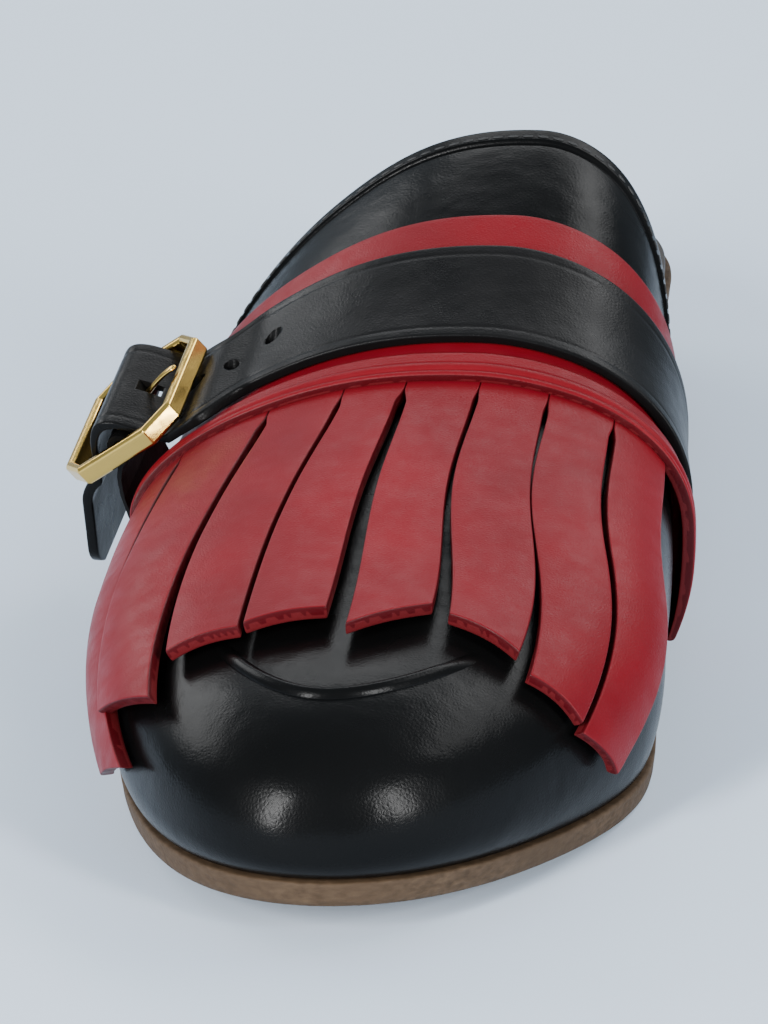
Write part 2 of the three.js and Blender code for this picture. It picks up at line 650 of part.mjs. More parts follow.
function makeProng() {
  const rest = frameLow + frameThickness + clearance;
  const tip = -frameRun / 2 + prongOverhang;
  const arm = new THREE.Shape([
    new THREE.Vector2(-0.6 * loopWall, barHeight + barRadius + clearance + 0.1 * loopWall),
    new THREE.Vector2(0, barHeight + barRadius + clearance + 0.95 * loopWall),
    new THREE.Vector2(tip + frameBar, rest + prongHeight),
    new THREE.Vector2(tip, rest + 0.7 * prongHeight),
    new THREE.Vector2(tip, rest),
    new THREE.Vector2(tip + frameBar, rest),
  ]);
  return spread(loopShape(), prongWidth).add(spread(arm, prongWidth));
}

// The chape leaves the loop round the bar and comes down to the wall under the strap's free end.
function makeChape() {
  const landing = -frameRun / 2 - chapeRun;
  const stations = [...range(8, (share) => mix(strapRun[0].s, landing, share)).slice(0, -1)];
  stations.push(...range(9, (share) => mix(landing, 0.8 * chapeThickness, share)));
  const point = (s, v, thick) => {
    const across = acrossRun(s);
    const laid = onSaddle(across, v, skin + clearance + (bandThickness + thick) * pared(across));
    const low = barHeight - loopRadius - chapeDrop * Math.max(0, -s);
    const held = new THREE.Vector3(-s, v, low + thick).applyMatrix4(buckleMatrix);
    return laid.lerp(held, ease((s - landing) / (-landing - 2 * chapeThickness)));
  };
  const width = strapWidth - 2 * chapeMargin;
  const layer = (thick) => [0.5, 0, -0.5].map((v) => stations.map((s) => point(s, v * width, thick)));
  const slot = new THREE.BoxGeometry(2 * (loopRadius + loopWall), prongWidth + 2 * clearance, 4 * loopRadius);
  slot.translate(0, 0, barHeight).applyMatrix4(buckleMatrix);
  return slab(layer(chapeThickness), layer(0)).add(spread(loopShape(), width)).subtract(solidOf(slot));
}

const shoe = new THREE.Group();
function add(name, solid, material) {
  const mesh = new THREE.Mesh(geometryOf(solid), material);
  mesh.name = name;
  shoe.add(mesh);
}

add("outsole", makeOutsole(), finish(colours.tan, 0.7));
add("heel", makeHeel(), finish(colours.tan, 0.6));
add("top_piece", makeTopPiece(), finish(colours.rubber, 0.8));
add("insole", makeInsole(), finish(colours.black, 0.6));
add("upper", makeUpper(), finish(colours.black, 0.25));
add("saddle_band", makeBand(), finish(colours.red, 0.5));
add("fringe", makeFringe(), finish(colours.red, 0.5));
add("strap", makeStrap(), finish(colours.black, 0.3));
add("chape", makeChape(), finish(colours.black, 0.3));
add("buckle_frame", makeFrame(), finish(colours.gold, 0.2, 1));
add("buckle_prong", makeProng(), finish(colours.gold, 0.2, 1));

// The origin is on the floor, under the middle of the whole shoe.
const middle = new THREE.Box3().setFromObject(shoe).getCenter(new THREE.Vector3());
shoe.children.forEach((mesh) => mesh.geometry.translate(-middle.x, -middle.y, 0));

export default shoe;
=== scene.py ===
import math

import bmesh
import bpy
import numpy as np
from mathutils import Matrix, Vector


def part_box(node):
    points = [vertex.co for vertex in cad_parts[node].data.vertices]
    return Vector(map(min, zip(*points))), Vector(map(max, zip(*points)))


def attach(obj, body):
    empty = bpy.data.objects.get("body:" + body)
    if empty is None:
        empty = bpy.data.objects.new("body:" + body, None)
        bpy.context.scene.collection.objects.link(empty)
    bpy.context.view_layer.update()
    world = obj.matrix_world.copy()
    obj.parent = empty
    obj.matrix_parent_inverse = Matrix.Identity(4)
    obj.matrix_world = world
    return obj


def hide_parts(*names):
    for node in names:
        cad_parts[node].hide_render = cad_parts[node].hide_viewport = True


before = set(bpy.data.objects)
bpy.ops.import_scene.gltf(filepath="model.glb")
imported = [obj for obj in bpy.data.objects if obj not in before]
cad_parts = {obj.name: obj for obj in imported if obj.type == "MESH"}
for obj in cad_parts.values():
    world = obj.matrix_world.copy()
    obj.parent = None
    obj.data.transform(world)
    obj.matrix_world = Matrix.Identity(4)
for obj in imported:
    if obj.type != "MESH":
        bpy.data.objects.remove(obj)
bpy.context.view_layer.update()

# Upper
# Black polished calf, one piece pulled over the last and cemented between insole and outsole, open at the
# back. Its back edge is bound and stitched, and the sections below give every other piece its place too.
MM = 0.001
sole_length = 250 * MM
ball_width = 85 * MM
heel_height = 19 * MM
toe_spring = 7 * MM
instep_rise = 25.5 * MM
wall_fullness = 19.8 * MM
clearance = 0.3 * MM
outsole_thickness = 4.2 * MM
toe_ledge = 1 * MM
saddle_ledge = 2.4 * MM
wall = 2 * MM
tuck = 2.6 * MM
binding_width = 3.4 * MM
binding_step = 0.45 * MM
throat_at = 0.678
side_at = 0.554
saddle_at = 0.4985
tread_front = 0.24
tread_back = 0.36
seat_front = 0.76
toe_round = 0.257
toe_squareness = 1.81
heel_round = 0.15
heel_squareness = 2.5
nose_round = 0.14
shoulder = 0.84
tuck_angle = math.radians(50)

# Outline of the outsole as shares of ball_width, and sections of the last as in the solids
outline = {
    "at": [0, 0.1, 0.2, 0.3, 0.4, 0.5, 0.6, 0.7, 0.8, 0.9, 1],
    "centre": [0.005, 0.021, 0.037, 0.023, 0.013, 0.003, -0.003, -0.002, -0.006, -0.006, -0.005],
    "half": [0.454, 0.469, 0.499, 0.498, 0.487, 0.46, 0.441, 0.405, 0.371, 0.364, 0.353],
}
sections = {
    "at": [0, 0.1, 0.2, 0.3, 0.4, 0.5, 0.6, 0.75],
    "rise": [0.76, 0.71, 0.69, 0.684, 0.74, 0.89, 1.019, 1.14],
    "ridge": [0, 0, 0.012, 0.057, 0.113, 0.132, 0.156, 0.152],
    "level": [0.24, 0.4, 0.65, 0.9, 1, 0.95, 0.9, 0.85],
    "outer": [2.2, 2.4, 2.3, 1.95, 1.5, 1.34, 1.2, 1.2],
    "inner": [2.2, 2.45, 2.55, 2.52, 2.5, 2.26, 2.43, 2.5],
}


def ease(x):
    x = np.clip(x, 0, 1)
    return x * x * (3 - 2 * x)


def mix(a, b, share):
    return a + (b - a) * share


def smooth(table, column):
    """Natural cubic spline through one column of a table, over its column at."""
    x, y = np.array(table["at"], float), np.array(table[column], float)
    step = np.diff(x)
    system = np.eye(len(x))
    load = np.zeros(len(x))
    for i in range(1, len(x) - 1):
        system[i, i - 1:i + 2] = step[i - 1], 2 * (step[i - 1] + step[i]), step[i]
        load[i] = 6 * ((y[i + 1] - y[i]) / step[i] - (y[i] - y[i - 1]) / step[i - 1])
    bend = np.linalg.solve(system, load)

    def value(at):
        k = np.clip(np.searchsorted(x, at, side="right") - 1, 0, len(x) - 2)
        a = (x[k + 1] - at) / step[k]
        b = 1 - a
        return a * y[k] + b * y[k + 1] + ((a**3 - a) * bend[k] + (b**3 - b) * bend[k + 1]) * step[k] ** 2 / 6

    return value


centre_at, half_at = smooth(outline, "centre"), smooth(outline, "half")
rise_at, ridge_at, level_at = (smooth(sections, column) for column in ("rise", "ridge", "level"))
outer_at, inner_at = smooth(sections, "outer"), smooth(sections, "inner")


def rounding(at):
    """Half width left by the rounding of toe and heel, as a share."""
    toe = np.clip(1 - at / toe_round, 0, 1) ** toe_squareness
    heel = np.clip(1 - (1 - at) / heel_round, 0, 1) ** heel_squareness
    return np.sqrt(np.clip((1 - toe) * (1 - heel), 0, 1))


def plan_point(turn, side):
    """Point of the outline at a turn from 0 at the toe to pi at the heel, past which it goes on round."""
    share = (1 - np.cos(turn)) / 2
    sign = np.where((turn < 0) | (turn > math.pi), -side, side)
    x = ball_width * (centre_at(share) + sign * half_at(share) * rounding(share))
    return np.stack([x, sole_length * (share - 0.5)], -1)


def turn_at(at):
    return np.arccos(1 - 2 * np.clip(at, 0, 1))


# The solids stand with the middle of the whole shoe over the origin: the outsole's box gives that shift.
outsole_low, outsole_high = (np.array(corner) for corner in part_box("outsole"))
outline_right = plan_point(np.linspace(0, math.pi, 4001), 1)[:, 0].max()
shift = np.array([outsole_high[0] - outline_right, outsole_low[1] + sole_length / 2])


def plan_edge(at, side, offset):
    """Outline at a share of the length, moved outwards by offset, square to the edge."""
    turn = turn_at(at)
    tangent = plan_point(turn + 0.002, side) - plan_point(turn - 0.002, side)
    tangent /= np.linalg.norm(tangent, axis=-1, keepdims=True)
    square = np.stack([tangent[..., 1], -tangent[..., 0]], -1)
    return plan_point(turn, side) + shift + square * np.asarray(side * offset)[..., None]


def underside(at):
    toe = np.clip(1 - at / tread_front, 0, 1)
    return toe_spring * toe**1.8 + heel_height * ease((at - tread_back) / (seat_front - tread_back))


def sole_top(at):
    return underside(at) + outsole_thickness


def ledge_at(at):
    return mix(toe_ledge, saddle_ledge, ease((at - tread_back) / (saddle_at - tread_back)))


def last_surface(at, across):
    """Point of the last: a superellipse over the widest line, an arc tucked in below it."""
    at, across = np.broadcast_arrays(np.asarray(at, float), np.asarray(across, float))
    side = np.where(across < 0, -1.0, 1.0)
    share = np.abs(across)
    inset = wall + ledge_at(at) - tuck
    level = wall_fullness * level_at(at)
    widest = sole_top(at) + clearance + level
    low_angle = np.clip((share - shoulder) / (1 - shoulder), 0, 1) * tuck_angle
    inwards = tuck * (1 - np.cos(low_angle)) / (1 - math.cos(tuck_angle))
    low = plan_edge(at, side, -inset - inwards)
    low_z = widest - level * np.sin(low_angle) / math.sin(tuck_angle)
    angle = np.clip(share / shoulder, 0, 1) * math.pi / 2
    nose = np.sqrt(np.clip(1 - np.clip(1 - at / nose_round, 0, 1) ** 2.5, 0, 1))
    ridge_x = ball_width * (centre_at(at) + ridge_at(at) * rounding(at)) + shift[0]
    ridge_y = sole_length * (at - 0.5) + inset * (1 - at) + shift[1]
    full = mix(outer_at(at), inner_at(at), ease((across + 0.4) / 0.8))
    reach = np.sin(angle)
    top_x = mix(ridge_x, low[..., 0], reach)
    top_y = mix(ridge_y, low[..., 1], reach**2)
    top_z = widest + instep_rise * rise_at(at) * nose * np.cos(angle).clip(0, 1) ** (2 / full)
    below = share > shoulder
    x, y = np.where(below, low[..., 0], top_x), np.where(below, low[..., 1], top_y)
    return np.stack([x, y, np.where(below, low_z, top_z)], -1)


def unit(v):
    return v / np.linalg.norm(v, axis=-1, keepdims=True).clip(1e-12)


def outward(at, across):
    """Direction square to the last above its widest line, and level below that line."""
    at, across = np.broadcast_arrays(np.asarray(at, float), np.asarray(across, float))
    inside = np.clip(across, -shoulder, shoulder)
    turn = turn_at(at)
    ahead, behind = (1 - np.cos(turn + 0.002)) / 2, (1 - np.cos(turn - 0.002)) / 2
    round_ = last_surface(at, inside + 0.002) - last_surface(at, inside - 0.002)
    down = last_surface(ahead, inside) - last_surface(behind, inside)
    square = unit(np.cross(round_, down))
    level = unit(square * [1, 1, 0])
    square = np.where((np.abs(across) < shoulder)[..., None], square, level)
    return np.where((at <= 0)[..., None], [0.0, -1.0, 0.0], square)


def on_last(at, across, proud):
    return last_surface(at, across) + outward(at, across) * np.asarray(proud)[..., None]


def back_edge(across):
    return mix(throat_at, side_at, np.abs(across) ** 2.6)


def build(name, points, faces, node, values=None):
    """One closed mesh piece from whole arrays, with doubled corners merged and its faces pointing out."""
    mesh = bpy.data.meshes.new(name)
    mesh.from_pydata(points.reshape(-1, 3).tolist(), [], faces.tolist())
    for key, value in (values or {}).items():
        mesh.attributes.new(key, "FLOAT", "POINT").data.foreach_set("value", value.reshape(-1))
    body = bmesh.new()
    body.from_mesh(mesh)
    bmesh.ops.remove_doubles(body, verts=body.verts, dist=2e-6)
    if body.calc_volume(signed=True) < 0:
        bmesh.ops.reverse_faces(body, faces=body.faces)
    body.to_mesh(mesh)
    body.free()
    mesh.shade_smooth()
    piece = bpy.data.objects.new(name, mesh)
    bpy.context.scene.collection.objects.link(piece)
    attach(piece, "root")
    if node:
        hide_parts(node)
    return piece


def grid_faces(index):
    """Four-cornered faces of a grid of corner numbers."""
    corners = index[:-1, :-1], index[:-1, 1:], index[1:, 1:], index[1:, :-1]
    return np.stack(corners, -1).reshape(-1, 4)


def spaced(count, start, end):
    """Shares from 0 to 1, crowded where the cut edge is rounded: within start of 0 and within end of 1."""
    rounded = np.array([0, 0.03, 0.12, 0.3, 0.6])
    parts = [rounded * start if start else np.array([]), np.linspace(start, 1 - end, count)]
    parts.append(1 - rounded[::-1] * end if end else np.array([]))
    return np.concatenate(parts)


def fullness(share, start, end, power=4.0):
    """Half thickness left near two cut edges: (1 - (1 - distance / radius) ** power) ** (1 / power)."""
    near = np.ones_like(share)
    for distance, radius in ((share, start), (1 - share, end)):
        if radius:
            near = near * (1 - (1 - np.clip(distance / radius, 0, 1)) ** power) ** (1 / power)
    return near


def sheet(name, place, u, v, full, node):
    """Closed leather piece: the grid place(u, v, w) with w at +full on its face and -full on its back."""
    u, v = np.meshgrid(u, v, indexing="ij")
    points = np.stack([place(u, v, full), place(u, v, -full)])
    index = np.arange(u.size).reshape(u.shape)
    cells = np.concatenate([grid_faces(index), grid_faces(index + u.size)[:, ::-1]])
    face = np.stack([np.ones_like(u), -np.ones_like(u)])
    rim = np.stack([1 - full, 1 - full])
    return build(name, points, cells, node, {"face": face, "rim": rim})


def material(name, colour, roughness, coat=0.0, specular=0.5, metallic=0.0):
    """Principled material: its constants go straight on the shader."""
    made = bpy.data.materials.new(name)
    made.use_nodes = True
    shader = made.node_tree.nodes["Principled BSDF"]
    shader.inputs["Base Color"].default_value = (*colour, 1)
    shader.inputs["Roughness"].default_value = roughness
    shader.inputs["Coat Weight"].default_value = coat
    shader.inputs["Coat Roughness"].default_value = 0.08
    shader.inputs["Specular IOR Level"].default_value = specular
    shader.inputs["Metallic"].default_value = metallic
    return made


def noise(made, scale, detail=3.0, stretch=(1, 1, 1)):
    """Noise over the piece's own place in metres: scale is in waves per metre."""
    tree = made.node_tree
    place = tree.nodes.new("ShaderNodeTexCoord")
    turn = tree.nodes.new("ShaderNodeMapping")
    turn.inputs["Scale"].default_value = stretch
    texture = tree.nodes.new("ShaderNodeTexNoise")
    texture.inputs["Scale"].default_value = scale
    texture.inputs["Detail"].default_value = detail
    tree.links.new(place.outputs["Object"], turn.inputs["Vector"])
    tree.links.new(turn.outputs["Vector"], texture.inputs["Vector"])
    return texture.outputs["Fac"]


def cells(made, scale):
    """Small closed cells of leather grain, as the distance to the nearest cell wall."""
    tree = made.node_tree
    place = tree.nodes.new("ShaderNodeTexCoord")
    texture = tree.nodes.new("ShaderNodeTexVoronoi")
    texture.feature = "DISTANCE_TO_EDGE"
    texture.inputs["Scale"].default_value = scale
    tree.links.new(place.outputs["Object"], texture.inputs["Vector"])
    return texture.outputs["Distance"]


def ramp(made, value, low, high, low_colour, high_colour):
    """Colour between two, as value goes from low to high."""
    node = made.node_tree.nodes.new("ShaderNodeValToRGB")
    node.color_ramp.elements[0].position = low
    node.color_ramp.elements[1].position = high
    node.color_ramp.elements[0].color = (*low_colour, 1)
    node.color_ramp.elements[1].color = (*high_colour, 1)
    made.node_tree.links.new(value, node.inputs["Fac"])
    return node.outputs["Color"]


def blend(made, share, a, b):
    """Mix of two colours by a share."""
    node = made.node_tree.nodes.new("ShaderNodeMix")
    node.data_type = "RGBA"
    made.node_tree.links.new(share, node.inputs["Factor"])
    for socket, colour in ((node.inputs[6], a), (node.inputs[7], b)):
        if isinstance(colour, tuple):
            socket.default_value = (*colour, 1)
        else:
            made.node_tree.links.new(colour, socket)
    return node.outputs[2]


def attribute(made, key):
    node = made.node_tree.nodes.new("ShaderNodeAttribute")
    node.attribute_name = key
    return node.outputs["Fac"]


def scaled(made, value, low, high, to_low, to_high):
    """Value moved from one range to another and held inside it."""
    node = made.node_tree.nodes.new("ShaderNodeMapRange")
    for socket, number in zip(node.inputs[1:5], (low, high, to_low, to_high)):
        socket.default_value = number
    made.node_tree.links.new(value, node.inputs["Value"])
    return node.outputs["Result"]


def feed(made, socket, value):
    made.node_tree.links.new(value, made.node_tree.nodes["Principled BSDF"].inputs[socket])


def bump(made, layers):
    """Bump of several heights in metres, one over the other: pairs of a height and how deep it is."""
    normal = None
    for height, depth in layers:
        node = made.node_tree.nodes.new("ShaderNodeBump")
        node.inputs["Distance"].default_value = depth
        made.node_tree.links.new(height, node.inputs["Height"])
        if normal is not None:
            made.node_tree.links.new(normal, node.inputs["Normal"])
        normal = node.outputs["Normal"]
    feed(made, "Normal", normal)


black_polish = material("black_polish", (0.002, 0.002, 0.002), 0.26, specular=0.09)
black_lining = (0.03, 0.022, 0.017)
outside = scaled(black_polish, attribute(black_polish, "face"), -0.2, 0.2, 0, 1)
worn = ramp(black_polish, noise(black_polish, 24), 0.3, 0.75, (0.0015, 0.0015, 0.0015), (0.004, 0.004, 0.004))
feed(black_polish, "Base Color", blend(black_polish, outside, black_lining, worn))
feed(black_polish, "Roughness", scaled(black_polish, noise(black_polish, 60), 0.3, 0.7, 0.22, 0.3))
bump(black_polish, [
    (noise(black_polish, 110, 2), 0.00025),
    (cells(black_polish, 1500), 0.00003),
])

def upper_row(u, across):
    """Share of the length of a row: u up to 1 fills the vamp, past it the rows crowd up to the back edge."""
    field = back_edge(across) - (binding_width + 1.2 * MM) / sole_length
    return np.where(u <= 1, u * field, mix(field, back_edge(across), np.clip(u - 1, 0, 1)))


def upper_place(u, v, w):
    across = mix(-1, 1, v)
    at = upper_row(u, across)
    back = (back_edge(across) - at) * sole_length
    step = binding_step * ease((binding_width + 0.3 * MM - back) / (0.5 * MM))
    groove = 0.3 * MM * np.exp(-(((back - binding_width - 0.35 * MM) / (0.35 * MM)) ** 2))
    outside_height = wall + step - groove
    return on_last(at, across, outside_height * (w + 1) / 2)


edge_rows = 1 + np.array([0.0, 0.06, 0.12, 0.18, 0.24, 0.3, 0.36, 0.42, 0.5, 0.62, 0.75, 0.84, 0.92, 0.97, 0.992, 1])
upper_u = np.concatenate([np.linspace(0, 1, 150)[:-1] ** 1.7, edge_rows])
upper_v = spaced(190, 0.006, 0.006)
upper_full = np.outer(fullness(upper_u / 2, 0, 0.09), fullness(upper_v, 0.006, 0.006))
vamp = sheet("vamp", upper_place, upper_u, upper_v, upper_full, "upper")
vamp.data.materials.append(black_polish)


# Apron seam
# The lasted edge of the vamp's front, drawn up by hand into a low ridge round the toe and polished black.
seam_front = 0.07
seam_back = 0.185
seam_reach = 0.33
seam_middle = -0.005
seam_width = 2.8 * MM
seam_height = 1 * MM


def seam_line(turn):
    at = mix(seam_front, seam_back, 1 - np.sqrt(1 - 0.96 * turn**2))
    return at, seam_middle + seam_reach * turn


def swept(name, path, side, up, profile, node):
    """Closed bar: the loop profile of (sideways, upwards) pairs carried along a path, drawn to a point at its ends."""
    ring = profile[..., 0, None] * side[:, None] + profile[..., 1, None] * up[:, None]
    points = path[:, None] + ring
    points = np.concatenate([path[:1, None] + 0 * points[:1], points, path[-1:, None] + 0 * points[-1:]])
    index = np.arange(points.shape[0] * points.shape[1]).reshape(points.shape[:2])
    values = {"face": np.ones(index.shape)}
    return build(name, points, grid_faces(np.concatenate([index, index[:, :1]], 1)), node, values)


seam_turn = np.linspace(-1, 1, 241)
seam_path = on_last(*seam_line(seam_turn), np.full(seam_turn.shape, wall - 0.2 * MM))
seam_up = outward(*seam_line(seam_turn))
seam_side = unit(np.cross(seam_up, np.gradient(seam_path, axis=0)))
seam_angle = np.linspace(0, 2 * math.pi, 25)[:-1]
seam_fade = ease((1 - np.abs(seam_turn)) / 0.24)
# Section of the ridge: a wide foot and a narrower rolled crest
seam_loop = np.stack([seam_width / 2 * np.cos(seam_angle) * (1 - 0.25 * np.sin(seam_angle).clip(0, 1)),
                      (seam_height + 0.2 * MM) * np.sin(seam_angle).clip(-0.5, 1)], -1)
seam_loop = seam_loop[None] * np.stack([np.ones_like(seam_fade), seam_fade], -1)[:, None]
apron_seam = swept("apron_seam", seam_path, seam_side, seam_up, seam_loop, None)
apron_seam.data.materials.append(black_polish)


# Topline stitches
# Black thread along the bound back edge, in short stitches sunk a little into the polished leather.
stitch_length = 1.9 * MM
stitch_pitch = 2.6 * MM
thread_radius = 0.24 * MM


def stitches(name, path, up, length=stitch_length, pitch=stitch_pitch, radius=thread_radius, squash=0.8):
    """A row of stitches along a path: one capsule, its rings given by sine and cosine, set at an even pitch."""
    run = np.concatenate([[0], np.cumsum(np.linalg.norm(np.diff(path, axis=0), axis=1))])
    places = np.arange(pitch / 2, run[-1], pitch)
    middle = np.stack([np.interp(places, run, path[:, k]) for k in range(3)], -1)
    ahead = np.stack([np.interp(places + length / 2, run, path[:, k]) for k in range(3)], -1)
    along = unit(ahead - middle)
    lift = unit(np.stack([np.interp(places, run, up[:, k]) for k in range(3)], -1))
    side = unit(np.cross(lift, along))
    lift = np.cross(along, side)
    ring = np.linspace(0, 2 * math.pi, 9)
    pole = np.linspace(0, math.pi, 7)
    long_ = np.cos(pole)[:, None] * length / 2 * np.ones_like(ring)
    around = radius * np.sin(pole)[:, None] ** 0.6
    local = np.stack([long_, around * np.cos(ring), squash * around * np.sin(ring)], -1)
    axes = np.stack([along, side, lift], 1)
    points = middle[:, None, None] + np.einsum("abk,nkc->nabc", local, axes)
    count = points.shape[0]
    index = np.arange(points.size // 3).reshape(count, 7, 9)
    faces = np.concatenate([grid_faces(index[i])[:, ::-1] for i in range(count)])
    return build(name, points, faces, None)


def thread_material(name, colour):
    made = material(name, colour, 0.55)
    bump(made, [(noise(made, 2600, 1, (1, 1, 1)), 0.00005)])
    return made


black_thread = thread_material("black_thread", (0.012, 0.012, 0.012))
line_across = np.linspace(-0.97, 0.97, 700)
line_at = back_edge(line_across) - 2.4 * MM / sole_length
line_up = outward(line_at, line_across)
line_path = on_last(line_at, line_across, np.full(700, wall + binding_step + 0.02 * MM))
topline_stitches = stitches("topline_stitches", line_path, line_up)
topline_stitches.data.materials.append(black_thread)


# Saddle band
# Wide red strap leather over the instep, its lower edge turned under and sewn into two narrow beads, its ends
# pared and tucked in at the sole.
band_thickness = 1.7 * MM
band_above = 10 * MM
band_below = 10.2 * MM
band_flat = 1.9 * MM
band_ramp = 2 * MM
band_edge_width = 3.6 * MM
band_edge_step = 0.7 * MM
strap_width = 23 * MM
strap_thickness = 1.8 * MM
skived_thickness = 1 * MM
saddle_lean = -0.028
saddle_sweep = 0.018
skive_share = 0.35
skin = wall + clearance
band_bottom = strap_width / 2 + band_below


def saddle_line(across):
    return saddle_at + saddle_lean * across**2 + saddle_sweep * np.clip(across, 0, 1) ** 8


def saddle_place(across, v):
    at = saddle_line(across)
    pace = np.linalg.norm(last_surface(at + 0.002, across) - last_surface(at - 0.002, across), axis=-1) / 0.004
    return at - v / pace


def on_saddle(across, v, proud):
    return on_last(saddle_place(across, v), across, proud)


def pared(across):
    return 1 - skive_share * ease((np.abs(across) - 0.88) / 0.12)


def band_under(v):
    return skin + (skived_thickness + clearance) * ease((v - strap_width / 2 - band_flat) / band_ramp)


def band_beads(v):
    """Two rounded beads at the turned edge, the wider one above, with a stitched groove over each."""
    down = (band_bottom - v) / band_edge_width
    wide = np.sqrt(np.clip(1 - ((down - 0.7) / 0.3) ** 2, 0, 1))
    narrow = np.sqrt(np.clip(1 - ((down - 0.19) / 0.21) ** 2, 0, 1))
    groove = np.exp(-(((down - 1.03) / 0.07) ** 2))
    return band_edge_step * (wide + 0.75 * narrow - 0.35 * groove)


def band_place(u, v, w):
    across = mix(-1, 1, v)
    down = mix(band_bottom, -strap_width / 2 - band_above, u)
    limit = back_edge(across) - (binding_width + 0.7 * MM + 8 * MM * (1 - u)) / sole_length
    at = np.minimum(saddle_place(across, down), limit)
    low = band_under(down)
    high = low + (band_thickness + band_beads(down)) * pared(across)
    return on_last(at, across, mix(low, high, (w + 1) / 2))


def red_leather(name, colour, edge_colour, back_colour):
    """Brushed red leather with a painted cut edge and a plain back."""
    made = material(name, colour, 0.42, specular=0.15)
    cloud = noise(made, 35, 4)
    tone = ramp(made, cloud, 0.3, 0.72, tuple(0.8 * c for c in colour), tuple(1.18 * c for c in colour))
    painted = scaled(made, attribute(made, "rim"), 0.02, 0.12, 0, 1)
    front = blend(made, painted, tone, edge_colour)
    outside_ = scaled(made, attribute(made, "face"), -0.2, 0.2, 0, 1)
    feed(made, "Base Color", blend(made, outside_, back_colour, front))
    feed(made, "Roughness", scaled(made, noise(made, 300, 2), 0.3, 0.7, 0.36, 0.5))
    bump(made, [(noise(made, 160, 3), 0.00012), (cells(made, 1700), 0.00005)])
    return made


red = red_leather("red_leather", (0.17, 0.004, 0.009), (0.06, 0.002, 0.004), (0.1, 0.008, 0.01))
band_u = np.concatenate([spaced(60, 0.006, 0)[:-1] * 0.35, 0.35 + 0.65 * spaced(40, 0, 0.012)])
band_v = spaced(180, 0.005, 0.005)
band_full = np.outer(fullness(band_u, 0.006, 0.012), fullness(band_v, 0.005, 0.005))
saddle_band = sheet("saddle_band_leather", band_place, band_u, band_v, band_full, "saddle_band")
saddle_band.data.materials.append(red)

red_thread = thread_material("red_thread", (0.14, 0.008, 0.012))
for label, down in (("upper", 1.04), ("lower", 0.4)):
    seam_v = band_bottom - down * band_edge_width
    seam_across = np.linspace(-0.93, 0.93, 700)
    at = saddle_place(seam_across, seam_v)
    height = band_under(seam_v) + (band_thickness + band_beads(seam_v) + 0.02 * MM) * pared(seam_across)
    path = on_last(at, seam_across, height)
    row = stitches(f"band_stitches_{label}", path, outward(at, seam_across), radius=0.2 * MM)
    row.data.materials.append(red_thread)


# Fringe
# Red leather doubled to two layers and cut into eight strips, which fan out over the toe and lift a little.
# Its skived root is sewn under the band, and its cut edges are painted dark.
fringe_thickness = 2.2 * MM
root_overlap = 6 * MM
slit_start = 1.6 * MM
strips = [
    {"root": (-0.745, -0.59), "tip": (-0.89, -0.755), "end": (0.125, 0.08), "swing": 2, "lift": 0.8},
    {"root": (-0.575, -0.372), "tip": (-0.721, -0.523), "end": (0.129, 0.09), "swing": 2, "lift": 1.6},
    {"root": (-0.352, -0.222), "tip": (-0.447, -0.25), "end": (0.126, 0.13), "swing": 1.5, "lift": 1.2},
    {"root": (-0.212, -0.118), "tip": (-0.238, -0.056), "end": (0.132, 0.145), "swing": 1.2, "lift": 1.4},
    {"root": (-0.1, 0.018), "tip": (0.002, 0.156), "end": (0.125, 0.16), "swing": 1.3, "lift": 1.4},
    {"root": (0.032, 0.208), "tip": (0.201, 0.404), "end": (0.152, 0.136), "swing": 1.6, "lift": 1.4},
    {"root": (0.222, 0.405), "tip": (0.466, 0.667), "end": (0.124, 0.126), "swing": 2.1, "lift": 1.2},
    {"root": (0.425, 0.62), "tip": (0.69, 0.855), "end": (0.123, 0.143), "swing": 2.2, "lift": 1},
]
root_share = 0.09


def strip_place(strip, before, after):
    """Place of one strip: u runs from the root under the band to the tip, v from its outer to its inner edge."""
    outer_root, inner_root = strip["root"]
    outer_joint = outer_root if before is None else (outer_root + before["root"][1]) / 2
    inner_joint = inner_root if after is None else (inner_root + after["root"][0]) / 2

    def place(u, v, w):
        down = mix(band_bottom - root_overlap, band_bottom + slit_start, np.clip(u / root_share, 0, 1))
        run = np.clip((u - root_share) / (1 - root_share), 0, 1)
        opened = ease(run / 0.06)
        across = mix(mix(outer_joint, outer_root, opened), mix(inner_joint, inner_root, opened), v)
        start = saddle_place(across, down)
        at = mix(start, mix(*strip["end"], v), run)
        swung = mix(across, mix(*strip["tip"], v), run ** strip["swing"])
        thick = mix(skived_thickness, fringe_thickness, ease((down - band_bottom + 0.8 * MM) / (0.6 * MM)))
        crown = 0.35 * MM * run * np.sin(math.pi * v)
        low = skin + strip["lift"] * MM * run**2 + crown
        return on_last(at, swung, low + thick * (w + 1) / 2)

    return place


for i, strip in enumerate(strips):
    before = strips[i - 1] if i else None
    after = strips[i + 1] if i + 1 < len(strips) else None
    strip_u, strip_v = spaced(110, 0.004, 0.006), spaced(22, 0.045, 0.045)
    strip_full = np.outer(fullness(strip_u, 0.004, 0.006, 5), fullness(strip_v, 0.045, 0.045, 5))
    piece = sheet(f"fringe_strip_{i + 1}", strip_place(strip, before, after), strip_u, strip_v, strip_full,
                  "fringe")
    piece.data.materials.append(red)


